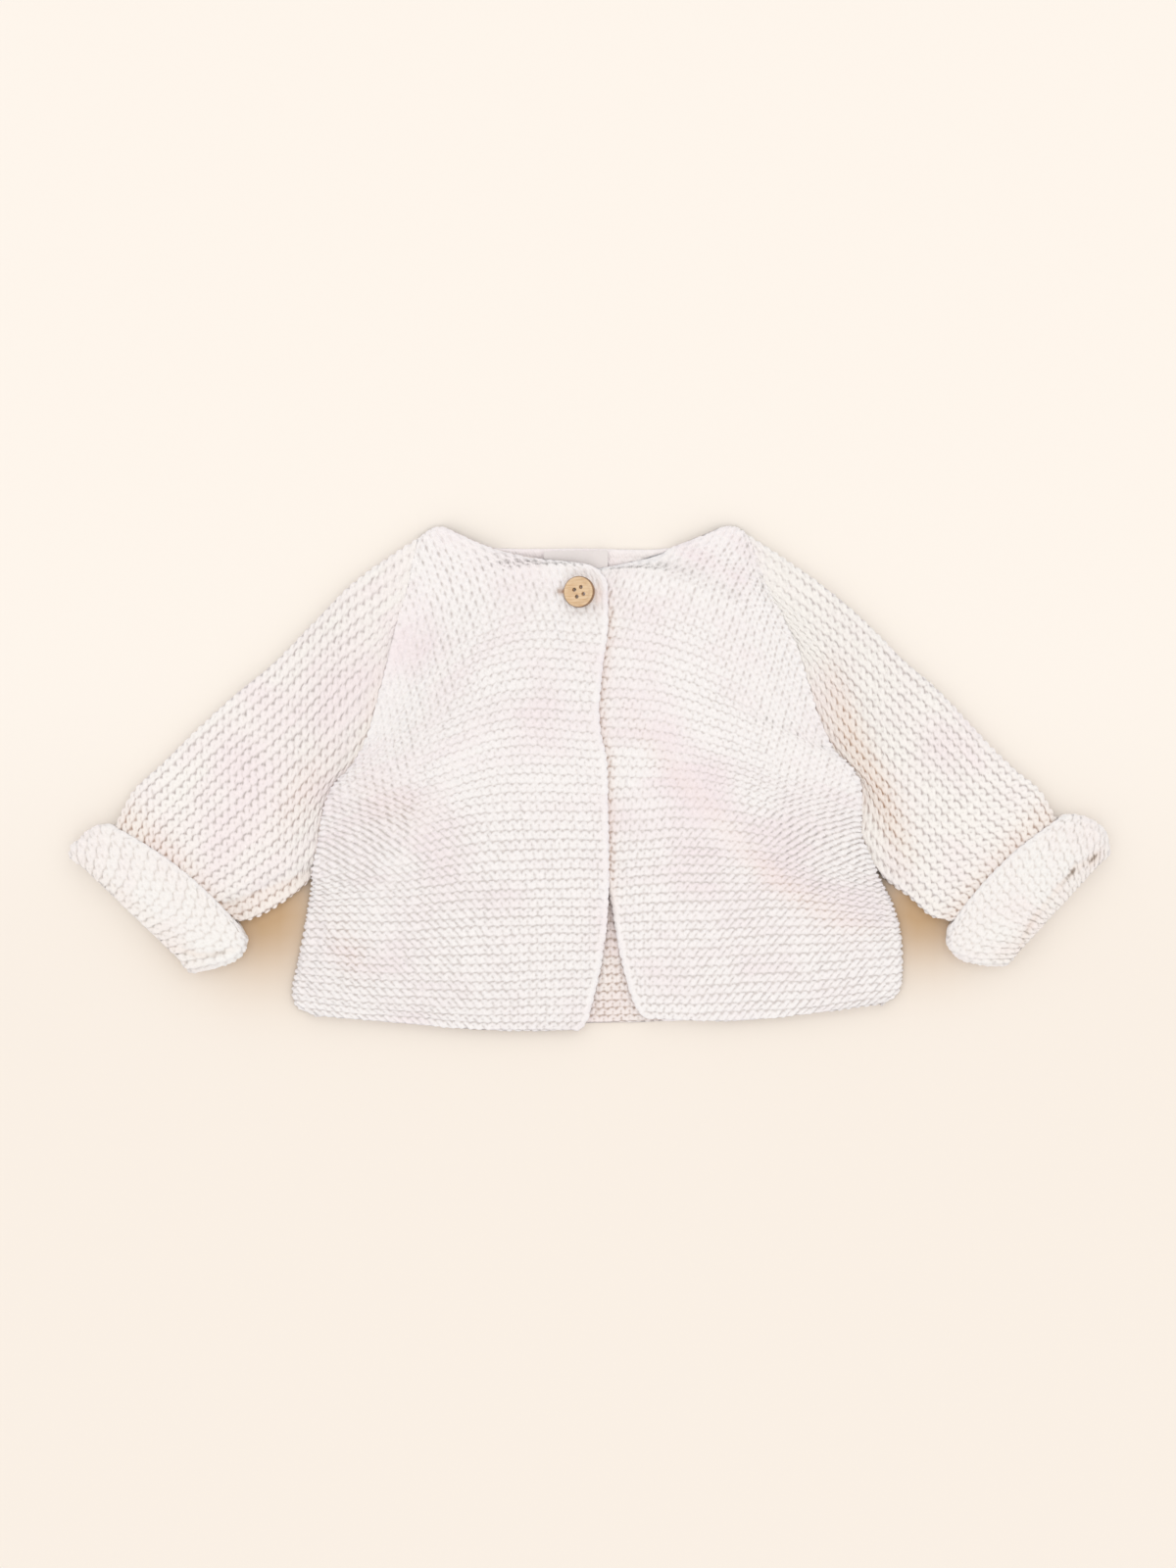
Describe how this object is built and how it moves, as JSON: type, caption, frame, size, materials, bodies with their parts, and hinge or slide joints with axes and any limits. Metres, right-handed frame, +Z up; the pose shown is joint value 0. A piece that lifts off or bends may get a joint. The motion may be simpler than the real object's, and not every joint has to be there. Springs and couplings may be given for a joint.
{
  "type": "baby cardigan",
  "caption": "Long-sleeved baby cardigan in ridged garter knit, laid flat and closed at the neck by a round wooden button, with turned-back cuffs.",
  "frame": {"origin": "on the surface the cardigan lies on, below the middle of its bounding box", "axes": "+X across the chest towards the wearer's left sleeve, +Y up the back towards the neck, +Z up from the surface, out of the fronts"},
  "size_m": [0.4813, 0.2338, 0.0137],
  "materials": {
    "knit_body": "soft cotton garter knit, pale rose and ecru, matt with a light fuzz",
    "knit_sleeve": "soft cotton garter knit, pale rose and ecru, matt with a light fuzz",
    "knit_cuff": "soft cotton garter knit, ecru, matt with a light fuzz",
    "woven_satin": "fine woven satin ribbon, slight sheen",
    "wood": "turned light wood, satin"
  },
  "bodies": {
    "root": {"back": "knit_body", "front_right": "knit_body", "front_left": "knit_body", "sleeve_right": "knit_sleeve", "sleeve_left": "knit_sleeve", "cuff_right": "knit_cuff", "cuff_left": "knit_cuff", "neck_label": "woven_satin", "button": "wood"}
  },
  "joints": []
}
